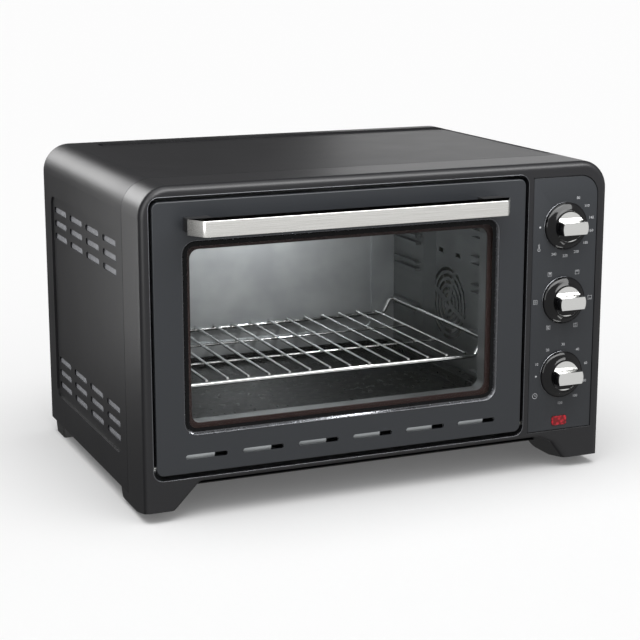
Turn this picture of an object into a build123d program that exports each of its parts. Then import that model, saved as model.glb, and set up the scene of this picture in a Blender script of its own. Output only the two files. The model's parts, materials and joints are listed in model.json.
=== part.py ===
from build123d import *
from math import cos, radians, sin
import os

# Counter-top electric oven with a drop-down glass door, three control knobs,
# a convection fan and a rotisserie drive.
# Frame: X to the right, Y to the back, Z up. The origin is on the supporting
# surface, midway between the left and right sides and midway between the
# handle's front face and the rear spacers. Millimetres throughout.

# ---- driving dimensions ----------------------------------------------------
width = 550.0                 # over the cabinet's two sides
height = 356.0                # supporting surface to the top
body_depth = 386.0            # bezel front to rear cover
handle_reach = 40.0           # handle front ahead of the bezel
spacer_reach = 10.0           # rear spacers behind the rear cover
bezel_depth = 62.0
cabinet_bottom = 17.0
corner_radius = 32.0
sheet = 1.0                   # cabinet and cavity steel
door_sheet = 1.2

half_width = width / 2
front = -(body_depth + handle_reach + spacer_reach) / 2 + handle_reach   # bezel's front face
bezel_back = front + bezel_depth
rear = front + body_depth

# door, window and control panel, as X and Z limits on the front
door_x = (-261.7, 170.0)
door_z = (51.0, 340.2)
door_depth = 26.0
door_corner = 8.0
door_gap_x = (-265.2, 173.5)
door_gap_z = (45.9, 344.6)
window_x = (-230.8, 138.2)
window_z = (91.7, 299.0)
window_corner = 15.0
trim_width = 3.0
glass_lap = 10.0              # glass hidden behind the panel, each side
border_width = 11.0           # dark border seen through the glass
panel_x = (180.6, 262.6)
panel_z = (47.5, 339.7)
panel_corner = 22.0
rail_bottom = 39.8            # underside of the bezel's lower rail

# hinge of the door, below its lower edge's middle
hinge_y = front + 8.0
hinge_z = 58.0
pin_radius = 3.0
pin_clearance = 0.05
pin_bore_depth = 5.0

# cavity, inside faces
cavity_x = (-246.0, 154.0)
cavity_y = (front + 32.0, front + 301.0)
cavity_z = (70.0, 325.0)
fan_panel_x = 162.0           # right wall's recessed fan panel
fan_panel_y = (front + 95.0, front + 200.0)
fan_slope_front = front + 88.0
fan_slope_back = front + 218.0
fan_centre = (front + 165.0, 168.0)
guide_levels = (100.0, 150.0, 203.0, 236.0, 267.0)
guide_front = (front + 42.0, front + 84.0)
guide_rear = (front + 226.0, front + 288.0)
guide_depth = 7.0
guide_thickness = 3.0
rail_gap = 2.9                # rail axis to the guide below it

# controls
panel_gap = 0.5
knob_x = (panel_x[0] + panel_x[1]) / 2
knob_heights = {"thermostat": 284.5, "selector": 199.5, "timer": 113.0}
knob_radius = 27.0
cap_radius = 17.0
knob_reach = 24.0
shaft_radius = 3.0

os.makedirs("parts", exist_ok=True)


def front_plane(y):
    """Plane facing the front at depth y: local X is X, local Y is Z, extrude a negative amount to go back."""
    return Plane.XZ.offset(-y)


def side_plane(x):
    """Plane facing right at x: local X is Y, local Y is Z."""
    return Plane.YZ.offset(x)


def limits_rectangle(across, up, corner=0.0, grow=0.0, mode=Mode.ADD):
    """Rectangle between two pairs of limits in the current sketch, with rounded corners if asked."""
    centre = ((across[0] + across[1]) / 2, (up[0] + up[1]) / 2)
    size = (across[1] - across[0] + 2 * grow, up[1] - up[0] + 2 * grow)
    with Locations(centre):
        if corner > 0:
            RectangleRounded(size[0], size[1], corner, mode=mode)
        else:
            Rectangle(size[0], size[1], mode=mode)


def limits_box(x, y, z, mode=Mode.ADD):
    """Box between three pairs of limits in the current part."""
    centre = ((x[0] + x[1]) / 2, (y[0] + y[1]) / 2, (z[0] + z[1]) / 2)
    with Locations(centre):
        Box(x[1] - x[0], y[1] - y[0], z[1] - z[0], mode=mode)


def panel_lines(grow):
    """Outline of the control panel: small corners, and a large top right corner that follows the bezel."""
    left, right = panel_x[0] - grow, panel_x[1] + grow
    low, high = panel_z[0] - grow, panel_z[1] + grow
    radius = panel_corner + grow
    Polyline((right, high - radius), (right, low), (left, low), (left, high), (right - radius, high))
    RadiusArc((right - radius, high), (right, high - radius), radius)


def save(piece, label):
    """Name a finished sub-part and write its STEP file."""
    piece.part.label = label
    export_step(piece.part, f"parts/{label}.step")


# ---- front bezel with its feet ---------------------------------------------
bezel_wall = 3.0
bezel_face = 4.0
bezel_round = 7.5
aperture_round = 1.0
foot_round = 9.0
left_foot = [(-half_width, 0), (-252, 0), (-213, rail_bottom)]
right_foot = [(196, rail_bottom), (214, 32), (238, 0), (half_width, 0)]


def bezel_lines(inset):
    """Lines of the bezel's front outline: rounded top corners, and the feet when inset is 0."""
    x = half_width - inset
    top = height - inset
    radius = corner_radius - inset
    if inset > 0:
        Polyline((-x, top - radius), (-x, rail_bottom + inset), (x, rail_bottom + inset), (x, top - radius))
    else:
        FilletPolyline((-x, top - radius), *left_foot, *right_foot, (x, top - radius), radius=foot_round)
    RadiusArc((x, top - radius), (x - radius, top), -radius)
    Line((x - radius, top), (-x + radius, top))
    RadiusArc((-x + radius, top), (-x, top - radius), -radius)


with BuildPart() as front_bezel:
    with BuildSketch(front_plane(front)):
        with BuildLine():
            bezel_lines(0)
        make_face()
    extrude(amount=-bezel_depth)
    fillet(front_bezel.faces().sort_by(Axis.Y)[0].edges(), bezel_round)
    with BuildSketch(front_plane(front)):
        limits_rectangle(door_gap_x, door_gap_z, door_corner + 3)
        with BuildLine():
            panel_lines(panel_gap)
        make_face()
    extrude(amount=-bezel_depth, mode=Mode.SUBTRACT)
    cut_edges = front_bezel.edges(Select.LAST)
    fillet(cut_edges.filter_by(lambda e: abs(e.center().Y - front) < 0.01), aperture_round)
    with BuildSketch(front_plane(front + bezel_face)):
        with BuildLine():
            bezel_lines(bezel_wall)
        make_face()
        limits_rectangle(door_gap_x, door_gap_z, door_corner + 3, grow=bezel_wall + 1, mode=Mode.SUBTRACT)
        limits_rectangle(panel_x, panel_z, grow=bezel_wall + 1, mode=Mode.SUBTRACT)
    extrude(amount=-bezel_depth, mode=Mode.SUBTRACT)
    with BuildSketch(side_plane(door_gap_x[0] - pin_bore_depth)):
        with Locations((hinge_y, hinge_z)):
            Circle(pin_radius + pin_clearance)
    extrude(amount=door_gap_x[1] - door_gap_x[0] + 2 * pin_bore_depth, mode=Mode.SUBTRACT)
    for foot in (left_foot, right_foot):
        with BuildSketch(front_plane(bezel_back)):
            with BuildLine():
                FilletPolyline(*foot, (foot[-1][0], rail_bottom + 20), (foot[0][0], rail_bottom + 20),
                               close=True, radius=foot_round)
            make_face()
        extrude(amount=-26.0)
    with BuildSketch(side_plane(-half_width)):
        with BuildLine():
            Polyline((front - 1, 12.5), (front + 56, 0), (front + 56, -1), (front - 1, -1), close=True)
        make_face()
        with BuildLine():
            Polyline((bezel_back, cabinet_bottom), (front + 88, cabinet_bottom), (front + 83, 5), (front + 74, 0),
                     (front + 74, -1), (front + 100, -1), (front + 100, 70), (bezel_back, 70), close=True)
        make_face()
    extrude(amount=width, mode=Mode.SUBTRACT)
save(front_bezel, "front_bezel")


# ---- cabinet ---------------------------------------------------------------
seam = 0.8
top_recess_x = (-214.0, 253.0)
top_recess_y = (front + 76.0, front + 371.0)
side_recess_y = (front + 86.0, front + 356.0)
side_recess_z = (53.0, 299.0)
recess_depth = 2.5
side_slot_y = [front + 118.0 + 68.0 * i for i in range(4)]
side_slot_z = (283.0, 267.4, 251.8, 99.5, 83.9, 68.3)
side_slot_length = 52.0
side_slot_height = 7.0


def cabinet_lines(inset):
    """The cabinet's arch in the front view: two sides and a top with rounded corners."""
    x = half_width - inset
    top = height - inset
    radius = corner_radius - inset
    Polyline((-x, top - radius), (-x, cabinet_bottom), (x, cabinet_bottom), (x, top - radius))
    RadiusArc((x, top - radius), (x - radius, top), -radius)
    Line((x - radius, top), (-x + radius, top))
    RadiusArc((-x + radius, top), (-x, top - radius), -radius)


with BuildPart() as cabinet_inside:
    with BuildSketch(front_plane(bezel_back)):
        with BuildLine():
            cabinet_lines(sheet)
        make_face()
    extrude(amount=-(body_depth - bezel_depth))
    with BuildSketch(Plane.XY.offset(height - recess_depth - sheet)):
        limits_rectangle(top_recess_x, top_recess_y, 14 + sheet, grow=sheet)
    extrude(amount=recess_depth + sheet, mode=Mode.SUBTRACT)
    with BuildSketch(side_plane(-half_width)):
        limits_rectangle(side_recess_y, side_recess_z, 12 + sheet, grow=sheet)
    extrude(amount=recess_depth + sheet, mode=Mode.SUBTRACT)
    with BuildSketch(side_plane(half_width)):
        limits_rectangle(side_recess_y, side_recess_z, 12 + sheet, grow=sheet)
    extrude(amount=-(recess_depth + sheet), mode=Mode.SUBTRACT)

with BuildPart() as cabinet_wrap:
    with BuildSketch(front_plane(bezel_back + seam)):
        with BuildLine():
            cabinet_lines(0)
        make_face()
    extrude(amount=-(body_depth - bezel_depth - seam))
    with BuildSketch(Plane.XY.offset(height - recess_depth)):
        limits_rectangle(top_recess_x, top_recess_y, 14)
    extrude(amount=recess_depth, mode=Mode.SUBTRACT)
    with BuildSketch(side_plane(-half_width)):
        limits_rectangle(side_recess_y, side_recess_z, 12)
    extrude(amount=recess_depth, mode=Mode.SUBTRACT)
    with BuildSketch(side_plane(half_width)):
        limits_rectangle(side_recess_y, side_recess_z, 12)
    extrude(amount=-recess_depth, mode=Mode.SUBTRACT)
    add(cabinet_inside.part, mode=Mode.SUBTRACT)
    with BuildSketch(side_plane(-half_width)):
        with Locations([(y, z) for y in side_slot_y for z in side_slot_z]):
            SlotOverall(side_slot_length, side_slot_height)
    extrude(amount=width, mode=Mode.SUBTRACT)
save(cabinet_wrap, "cabinet_wrap")

inner_half = half_width - sheet
with BuildPart() as base_plate:
    limits_box((-inner_half, inner_half), (bezel_back, rear - sheet), (cabinet_bottom, cabinet_bottom + sheet))
    with BuildSketch(Plane.XY.offset(cabinet_bottom)):
        with GridLocations(56, 22, 8, 6):
            SlotOverall(36, 5)
    extrude(amount=sheet, mode=Mode.SUBTRACT)
save(base_plate, "base_plate")

gland_place = (200.0, 70.0)
rear_vent_z = [120.0 + 14.0 * i for i in range(10)]
with BuildPart() as rear_cover:
    with BuildSketch(front_plane(rear - sheet)):
        with BuildLine():
            cabinet_lines(sheet)
        make_face()
        with Locations([(x, z) for x in (-190.0, -130.0, 130.0, 190.0) for z in rear_vent_z]):
            SlotOverall(44, 5, mode=Mode.SUBTRACT)
        with Locations(gland_place):
            Circle(8.0, mode=Mode.SUBTRACT)
    extrude(amount=-sheet)
save(rear_cover, "rear_cover")

with BuildPart() as rear_spacers:
    with BuildSketch(front_plane(rear)):
        with Locations([(x, z) for x in (-200.0, 200.0) for z in (310.0, 40.0)]):
            Circle(9.0)
    extrude(amount=-spacer_reach, taper=8)
save(rear_spacers, "rear_spacers")

with BuildPart() as cord_gland:
    with BuildSketch(front_plane(rear)):
        with Locations(gland_place):
            Circle(11.0)
            Circle(4.0, mode=Mode.SUBTRACT)
    extrude(amount=-4.0)
    with BuildSketch(front_plane(rear - 6.0)):
        with Locations(gland_place):
            Circle(7.9)
            Circle(4.0, mode=Mode.SUBTRACT)
    extrude(amount=-6.0)
save(cord_gland, "cord_gland")

rear_screw_places = [(x, z) for x in (-262.0, 262.0) for z in (40.0, 180.0, 310.0)]
rear_screw_places += [(x, 344.0) for x in (-150.0, 150.0)]
with BuildPart() as rear_screws:
    with BuildSketch(front_plane(rear)):
        with Locations(rear_screw_places):
            Circle(3.8)
    extrude(amount=-2.2)
    with BuildSketch(front_plane(rear + 2.2)):
        with Locations(rear_screw_places):
            Rectangle(4.8, 0.8)
            Rectangle(0.8, 4.8)
    extrude(amount=1.0, mode=Mode.SUBTRACT)
save(rear_screws, "rear_screws")

rear_foot_size = (24.0, 38.0)
rear_foot_y = front + 360.0
for label, x in (("rear_foot_left", -half_width + 14.0), ("rear_foot_right", half_width - 14.0)):
    with BuildPart() as rear_foot:
        with BuildSketch(Plane.XY.offset(cabinet_bottom)):
            with Locations((x, rear_foot_y)):
                RectangleRounded(rear_foot_size[0], rear_foot_size[1], 5)
        extrude(amount=-cabinet_bottom, taper=5)
    save(rear_foot, label)

# ---- oven cavity -----------------------------------------------------------
liner_x = (cavity_x[0] - sheet, fan_panel_x + sheet)
liner_z = (cavity_z[0] - sheet, cavity_z[1] + sheet)
heater_y = (front + 70.0, front + 246.0)
heater_z = {"top": 310.0, "bottom": 80.0}
heater_radius = 3.75
bush_radius = 6.0
drive_place = (front + 168.0, 197.0)
socket_radius = 7.0


def guide_boxes(wall_x, inward):
    """Pairs of pressed ledges on a side wall: the one below carries a rail, the one above keeps it from tipping."""
    reach = (wall_x, wall_x + inward * guide_depth)
    across = (min(reach), max(reach))
    for level in guide_levels:
        for along in (guide_front, guide_rear):
            limits_box(across, along, (level - rail_gap - guide_thickness, level - rail_gap))
            limits_box(across, along, (level + rail_gap, level + rail_gap + guide_thickness))


with BuildPart() as cavity_roof:
    limits_box(liner_x, (cavity_y[0], cavity_y[1] + sheet), (cavity_z[1], liner_z[1]))
    with BuildSketch(Plane.XY.offset(cavity_z[1])):
        with Locations([(-46.0 + 60.0 * i, front + 60.0 + 14.0 * j) for i in (-1, 0, 1) for j in (0, 1)]):
            SlotOverall(34, 4)
    extrude(amount=sheet, mode=Mode.SUBTRACT)
save(cavity_roof, "cavity_roof")

with BuildPart() as cavity_floor:
    limits_box(liner_x, (cavity_y[0], cavity_y[1] + sheet), (liner_z[0], cavity_z[0]))
    limits_box((-180.0, 88.0), (front + 130.0, front + 134.0), (cavity_z[0], cavity_z[0] + 1.5))
    limits_box((-180.0, 88.0), (front + 180.0, front + 184.0), (cavity_z[0], cavity_z[0] + 1.5))
save(cavity_floor, "cavity_floor")

with BuildPart() as cavity_back:
    limits_box(liner_x, (cavity_y[1], cavity_y[1] + sheet), cavity_z)
    with BuildSketch(front_plane(cavity_y[1] + sheet)):
        limits_rectangle((-216.0, 124.0), (112.0, 296.0), 12)
    extrude(amount=-3.0)
    with BuildSketch(front_plane(cavity_y[1])):
        limits_rectangle((-215.0, 123.0), (113.0, 295.0), 11)
    extrude(amount=-3.0, mode=Mode.SUBTRACT)
save(cavity_back, "cavity_back")

with BuildPart() as cavity_left_wall:
    limits_box((liner_x[0], cavity_x[0]), cavity_y, cavity_z)
    guide_boxes(cavity_x[0], 1)
    with BuildSketch(side_plane(liner_x[0])):
        with Locations([(y, z) for y in heater_y for z in heater_z.values()]):
            Circle(bush_radius + 0.1)
        with Locations(drive_place):
            Circle(socket_radius + 1.0)
    extrude(amount=sheet, mode=Mode.SUBTRACT)
save(cavity_left_wall, "cavity_left_wall")

grille_rings = (12.0, 20.0, 28.0, 36.0, 44.0)
ring_slot = 4.0
wall_plan = [
    (cavity_x[1], cavity_y[0]), (cavity_x[1], fan_slope_front), (fan_panel_x, fan_panel_y[0]),
    (fan_panel_x, fan_panel_y[1]), (cavity_x[1], fan_slope_back), (cavity_x[1], cavity_y[1]),
]
with BuildPart() as cavity_right_wall:
    with BuildSketch(Plane.XY.offset(cavity_z[0])):
        with BuildLine():
            Polyline(*wall_plan, *[(x + sheet, y) for x, y in reversed(wall_plan)], close=True)
        make_face()
    extrude(amount=cavity_z[1] - cavity_z[0])
    guide_boxes(cavity_x[1], -1)
    with BuildSketch(side_plane(fan_panel_x)):
        with Locations(fan_centre):
            for ring in reversed(grille_rings):
                Circle(ring)
                Circle(ring - ring_slot, mode=Mode.SUBTRACT)
            Rectangle(7.0, 100.0, rotation=20, mode=Mode.SUBTRACT)
            Rectangle(7.0, 100.0, rotation=-70, mode=Mode.SUBTRACT)
            Circle(3.0)
        for side in (-1, 1):
            with Locations((fan_centre[0] + 22.0 * side, fan_centre[1] + 62.0)):
                Rectangle(12.0, 5.0)
    extrude(amount=sheet, mode=Mode.SUBTRACT)
    with BuildSketch(side_plane(cavity_x[1])):
        with Locations([(y, z) for y in heater_y for z in heater_z.values()]):
            Circle(bush_radius + 0.1)
    extrude(amount=sheet, mode=Mode.SUBTRACT)
save(cavity_right_wall, "cavity_right_wall")

# arms fixed to the door pass through slots in the front frame and stop it
arm_x = ((-257.0, -255.0), (164.5, 166.5))
arm_radii = (86.0, 94.0)
hook_radius = 82.0
arm_slot_z = (hinge_z + 82.6, hinge_z + 91.1)
frame_y = (front + 31.0, front + 32.0)
with BuildPart() as cavity_front_frame:
    with BuildSketch(front_plane(frame_y[0])):
        limits_rectangle(door_gap_x, door_gap_z, door_corner + 3, grow=-0.1)
        limits_rectangle(cavity_x, cavity_z, 10, mode=Mode.SUBTRACT)
        for across in arm_x:
            limits_rectangle(across, arm_slot_z, grow=1.5, mode=Mode.SUBTRACT)
    extrude(amount=-sheet)
save(cavity_front_frame, "cavity_front_frame")

with BuildPart() as cavity_gasket:
    with BuildSketch(front_plane(frame_y[0])):
        limits_rectangle(cavity_x, cavity_z, 13, grow=5)
        limits_rectangle(cavity_x, cavity_z, 10, grow=1, mode=Mode.SUBTRACT)
    extrude(amount=4.0)
save(cavity_gasket, "cavity_gasket")

# ---- heaters ---------------------------------------------------------------
heater_x = (cavity_x[0] - 12.0, cavity_x[1] + 12.0)
for position, z in heater_z.items():
    for place, y in zip(("front", "rear"), heater_y):
        with BuildPart() as heater:
            with BuildSketch(side_plane(heater_x[0])):
                with Locations((y, z)):
                    Circle(heater_radius)
            extrude(amount=heater_x[1] - heater_x[0])
            for x in (heater_x[0] - 6.0, heater_x[1]):
                with BuildSketch(side_plane(x)):
                    with Locations((y, z)):
                        Circle(1.6)
                extrude(amount=6.0)
        save(heater, f"heater_{position}_{place}")

with BuildPart() as heater_bushes:
    for wall, outward in ((cavity_x[0], -1), (cavity_x[1], 1)):
        for y in heater_y:
            for z in heater_z.values():
                with BuildSketch(side_plane(wall)):
                    with Locations((y, z)):
                        Circle(bush_radius)
                extrude(amount=outward * 10.0)
                with BuildSketch(side_plane(wall)):
                    with Locations((y, z)):
                        Circle(bush_radius + 2.0)
                extrude(amount=-outward * 2.5)
                with BuildSketch(side_plane(wall - outward * 3.0)):
                    with Locations((y, z)):
                        Circle(heater_radius + 0.1)
                extrude(amount=outward * 14.0, mode=Mode.SUBTRACT)
save(heater_bushes, "heater_bushes")

# ---- convection fan behind the right wall ----------------------------------
wall_outside = fan_panel_x + sheet
housing_depth = 20.0
shield_x = wall_outside + housing_depth
fan_shaft_radius = 2.5
with BuildPart() as fan_housing:
    with BuildSketch(side_plane(wall_outside)):
        with Locations(fan_centre):
            Circle(52.0)
            Circle(51.0, mode=Mode.SUBTRACT)
    extrude(amount=housing_depth - sheet)
    with BuildSketch(side_plane(shield_x - sheet)):
        with Locations(fan_centre):
            Circle(52.0)
            Circle(fan_shaft_radius + 1.5, mode=Mode.SUBTRACT)
    extrude(amount=sheet)
save(fan_housing, "fan_housing")

with BuildPart() as heat_shield:
    limits_box((shield_x, shield_x + sheet), (bezel_back, rear - 12.0), (30.0, 340.0))
    with BuildSketch(side_plane(shield_x)):
        with Locations(fan_centre):
            Circle(fan_shaft_radius + 1.5)
    extrude(amount=sheet, mode=Mode.SUBTRACT)
    limits_box((shield_x, shield_x + 12.0), (bezel_back, rear - 12.0), (340.0, 341.0))
    limits_box((shield_x, shield_x + 12.0), (bezel_back, rear - 12.0), (29.0, 30.0))
save(heat_shield, "heat_shield")

motor_x = (shield_x + sheet, shield_x + sheet + 30.0)
with BuildPart() as convection_motor:
    with BuildSketch(side_plane(motor_x[0])):
        with Locations(fan_centre):
            Rectangle(52.0, 44.0)
    extrude(amount=motor_x[1] - motor_x[0])
    fillet(convection_motor.edges().filter_by(Axis.X), 4)
    with BuildSketch(side_plane(motor_x[1])):
        with Locations(fan_centre):
            Circle(12.0)
    extrude(amount=8.0)
    with BuildSketch(side_plane(motor_x[0])):
        with Locations(fan_centre):
            Circle(fan_shaft_radius + 0.05)
    extrude(amount=25.0, mode=Mode.SUBTRACT)
save(convection_motor, "convection_motor")

blade_radius = 44.0
with BuildPart() as fan_wheel:
    with BuildSketch(side_plane(wall_outside + 3.0)):
        with Locations(fan_centre):
            Circle(fan_shaft_radius)
    extrude(amount=motor_x[0] + 20.0 - wall_outside - 3.0)
    with BuildSketch(side_plane(wall_outside + 4.0)):
        with Locations(fan_centre):
            Circle(8.0)
    extrude(amount=11.0)
    with BuildSketch(side_plane(wall_outside + 13.0)):
        with Locations(fan_centre):
            Circle(24.0)
    extrude(amount=1.0)
    with Locations((wall_outside + 9.0, fan_centre[0], fan_centre[1])):
        with Locations([Rotation(45.0 * i, 0, 0) for i in range(8)]):
            with Locations(Pos(0, blade_radius / 2 + 2, 0) * Rotation(0, 24, 0)):
                Box(9.0, blade_radius - 6, 1.0)
save(fan_wheel, "fan_wheel")

# ---- rotisserie drive behind the left wall ---------------------------------
gearbox_x = (-269.0, -251.0)
square_drive = 8.0
with BuildPart() as rotisserie_motor:
    with BuildSketch(side_plane(gearbox_x[0])):
        with Locations(drive_place):
            Circle(27.0)
    extrude(amount=gearbox_x[1] - gearbox_x[0])
    for lug in (-32.0, 32.0):
        with BuildSketch(side_plane(gearbox_x[1] - 2.0)):
            with Locations((drive_place[0] + lug, drive_place[1])):
                Rectangle(18.0, 12.0)
        extrude(amount=2.0)
        with BuildSketch(side_plane(gearbox_x[1])):
            with Locations((drive_place[0] + lug * 1.1, drive_place[1])):
                Circle(4.0)
        extrude(amount=liner_x[0] - gearbox_x[1])
    with BuildSketch(side_plane(gearbox_x[1])):
        with Locations(drive_place):
            Circle(4.05)
    extrude(amount=-12.0, mode=Mode.SUBTRACT)
save(rotisserie_motor, "rotisserie_motor")

with BuildPart() as drive_socket:
    with BuildSketch(side_plane(gearbox_x[1] + 0.5)):
        with Locations(drive_place):
            Circle(socket_radius)
    extrude(amount=14.0)
    with BuildSketch(side_plane(gearbox_x[1] - 11.0)):
        with Locations(drive_place):
            Circle(4.0)
    extrude(amount=12.0)
    with BuildSketch(side_plane(gearbox_x[1] + 14.5)):
        with Locations(drive_place):
            Rectangle(square_drive, square_drive)
    extrude(amount=-10.0, mode=Mode.SUBTRACT)
save(drive_socket, "drive_socket")

# ---- wire rack and drip tray -----------------------------------------------
rack_level = guide_levels[1]
rail_radius = 2.5
rail_x = (cavity_x[0] + 4.0, cavity_x[1] - 4.0)
rack_y = (front + 46.0, front + 292.0)
shelf_z = rack_level - 17.0
drop_x = 15.0
cross_radius = 1.5
cross_pitch = 24.0
cross_count = 15
rack_middle = (rail_x[0] + rail_x[1]) / 2
cross_z = shelf_z + rail_radius + cross_radius
with BuildPart() as rack_frame:
    for y in rack_y:
        with BuildLine(front_plane(y)) as end_line:
            FilletPolyline(
                (rail_x[0], rack_level), (rail_x[0] + 6.0, rack_level), (rail_x[0] + drop_x, shelf_z),
                (rail_x[1] - drop_x, shelf_z), (rail_x[1] - 6.0, rack_level), (rail_x[1], rack_level), radius=4.5)
        with BuildSketch(side_plane(rail_x[0])):
            with Locations((y, rack_level)):
                Circle(rail_radius)
        sweep(path=end_line.line)
    for x in rail_x:
        with BuildSketch(front_plane(rack_y[0] - rail_radius)):
            with Locations((x, rack_level)):
                Circle(rail_radius)
        extrude(amount=-(rack_y[1] - rack_y[0] + 2 * rail_radius))
save(rack_frame, "rack_frame")

# the wires of the shelf lie on the frame's two end wires, and two stiffeners lie across under them
with BuildPart() as rack_wires:
    with BuildSketch(front_plane(rack_y[0] - 1.0)):
        with Locations((rack_middle, cross_z)):
            with GridLocations(cross_pitch, 1, cross_count, 1):
                Circle(cross_radius)
    extrude(amount=-(rack_y[1] - rack_y[0] + 2.0))
    for y in (rack_y[0] + 82.0, rack_y[0] + 164.0):
        with BuildSketch(side_plane(rail_x[0] + drop_x + 1.0)):
            with Locations((y, cross_z - 2 * cross_radius)):
                Circle(cross_radius)
        extrude(amount=rail_x[1] - rail_x[0] - 2 * drop_x - 2.0)
save(rack_wires, "rack_wires")

tray_level = guide_levels[0]
tray_x = (-228.0, 136.0)
tray_y = (front + 38.0, front + 290.0)
tray_z = (tray_level - 13.0, tray_level - 1.4)
flange_x = (cavity_x[0] + 2.0, cavity_x[1] - 2.0)
with BuildPart() as drip_tray:
    with BuildSketch(Plane.XY.offset(tray_z[0])):
        limits_rectangle(tray_x, tray_y, 16)
    extrude(amount=tray_z[1] - tray_z[0])
    with BuildSketch(Plane.XY.offset(tray_z[1] - sheet)):
        limits_rectangle(flange_x, (tray_y[0] - 2.0, tray_y[1] + 2.0), 10)
    extrude(amount=sheet)
    with BuildSketch(Plane.XY.offset(tray_z[0] + sheet)):
        limits_rectangle(tray_x, tray_y, 15, grow=-sheet)
    extrude(amount=30.0, mode=Mode.SUBTRACT)
save(drip_tray, "drip_tray")

# ---- door ------------------------------------------------------------------
panel_back = front + door_depth - door_sheet
vent_pitch = 64.0
vent_first = -206.5
vent_length = 46.5
vent_height = 5.0
vent_z = 69.0
vent_places = [(vent_first + vent_pitch * i, vent_z) for i in range(6)]
glass_y = (front + 4.0, front + 8.0)
handle_screw_places = [(x, 316.4) for x in (-217.0, 124.0)]
with BuildPart() as door_outer_panel:
    with BuildSketch(front_plane(front)):
        limits_rectangle(door_x, door_z, door_corner)
    extrude(amount=-(door_depth - door_sheet))
    fillet(door_outer_panel.edges().filter_by(lambda e: abs(e.center().Y - front) < 0.01), 1.5)
    with BuildSketch(front_plane(front + door_sheet)):
        limits_rectangle(door_x, door_z, door_corner - door_sheet, grow=-door_sheet)
    extrude(amount=-door_depth, mode=Mode.SUBTRACT)
    with BuildSketch(front_plane(front)):
        limits_rectangle(window_x, window_z, window_corner)
        with Locations(vent_places):
            SlotOverall(vent_length, vent_height)
    extrude(amount=-door_sheet, mode=Mode.SUBTRACT)
    with BuildSketch(side_plane(door_x[0] - 1.0)):
        with Locations((hinge_y, hinge_z)):
            Circle(pin_radius + 0.1)
    extrude(amount=door_x[1] - door_x[0] + 2.0, mode=Mode.SUBTRACT)
    with BuildSketch(front_plane(front)):
        with Locations(handle_screw_places):
            Circle(2.2)
    extrude(amount=-door_sheet, mode=Mode.SUBTRACT)
save(door_outer_panel, "door_outer_panel")

with BuildPart() as window_trim:
    with BuildSketch(front_plane(front + 0.2)):
        limits_rectangle(window_x, window_z, window_corner - 0.1, grow=-0.1)
    extrude(amount=-(glass_y[0] - front - 0.2))
    with BuildSketch(front_plane(front + 0.2)):
        limits_rectangle(window_x, window_z, window_corner - 0.7, grow=-0.7)
    with BuildSketch(front_plane(glass_y[0])):
        limits_rectangle(window_x, window_z, window_corner - trim_width, grow=-trim_width)
    loft(mode=Mode.SUBTRACT)
save(window_trim, "window_trim")

with BuildPart() as door_glass:
    with BuildSketch(front_plane(glass_y[0])):
        limits_rectangle(window_x, window_z, window_corner, grow=glass_lap)
    extrude(amount=-(glass_y[1] - glass_y[0]))
save(door_glass, "door_glass")

border_inner = -border_width
with BuildPart() as glass_gasket:
    with BuildSketch(front_plane(glass_y[1])):
        limits_rectangle(window_x, window_z, window_corner, grow=glass_lap)
        limits_rectangle(window_x, window_z, window_corner - 5, grow=border_inner, mode=Mode.SUBTRACT)
    extrude(amount=-2.0)
save(glass_gasket, "glass_gasket")

flange_y = (glass_y[1] + 2.0, panel_back)
with BuildPart() as door_inner_frame:
    with BuildSketch(front_plane(panel_back)):
        limits_rectangle(door_x, door_z, door_corner - 0.3, grow=-0.3)
        limits_rectangle(window_x, window_z, window_corner - 5, grow=border_inner, mode=Mode.SUBTRACT)
    extrude(amount=-door_sheet)
    with BuildSketch(front_plane(flange_y[0])):
        limits_rectangle(window_x, window_z, window_corner - 4, grow=border_inner + door_sheet)
        limits_rectangle(window_x, window_z, window_corner - 5, grow=border_inner, mode=Mode.SUBTRACT)
    extrude(amount=-(flange_y[1] - flange_y[0]))
save(door_inner_frame, "door_inner_frame")

with BuildPart() as door_vent_baffle:
    limits_box((-240.0, 148.0), (front + 4.0, front + 4.8), (60.0, 77.0))
    with BuildSketch(front_plane(front + 4.0)):
        with Locations([(x + 17.0, z) for x, z in vent_places]):
            Rectangle(14.0, 9.0)
    extrude(amount=-1.0, mode=Mode.SUBTRACT)
    for x in (-243.0, 148.0):
        limits_box((x, x + 3.0), (front + door_sheet, front + 4.8), (60.0, 77.0))
save(door_vent_baffle, "door_vent_baffle")

with BuildPart() as door_hinge_blocks:
    with BuildSketch(front_plane(front + 1.5)):
        limits_rectangle((door_x[0] + door_sheet + 0.1, door_x[0] + 17.0), (52.5, 68.0), 7)
        limits_rectangle((door_x[1] - 17.0, door_x[1] - door_sheet - 0.1), (52.5, 68.0), 7)
    extrude(amount=-(panel_back - front - 1.5))
    with BuildSketch(side_plane(door_x[0])):
        with Locations((hinge_y, hinge_z)):
            Circle(pin_radius + 0.05)
    extrude(amount=door_x[1] - door_x[0], mode=Mode.SUBTRACT)
save(door_hinge_blocks, "door_hinge_blocks")

with BuildPart() as door_hinge_pins:
    with BuildSketch(side_plane(door_gap_x[0] - pin_bore_depth + 0.5)):
        with Locations((hinge_y, hinge_z)):
            Circle(pin_radius)
    extrude(amount=20.0)
    with BuildSketch(side_plane(door_gap_x[1] + pin_bore_depth - 0.5)):
        with Locations((hinge_y, hinge_z)):
            Circle(pin_radius)
    extrude(amount=-20.0)
save(door_hinge_pins, "door_hinge_pins")

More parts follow.
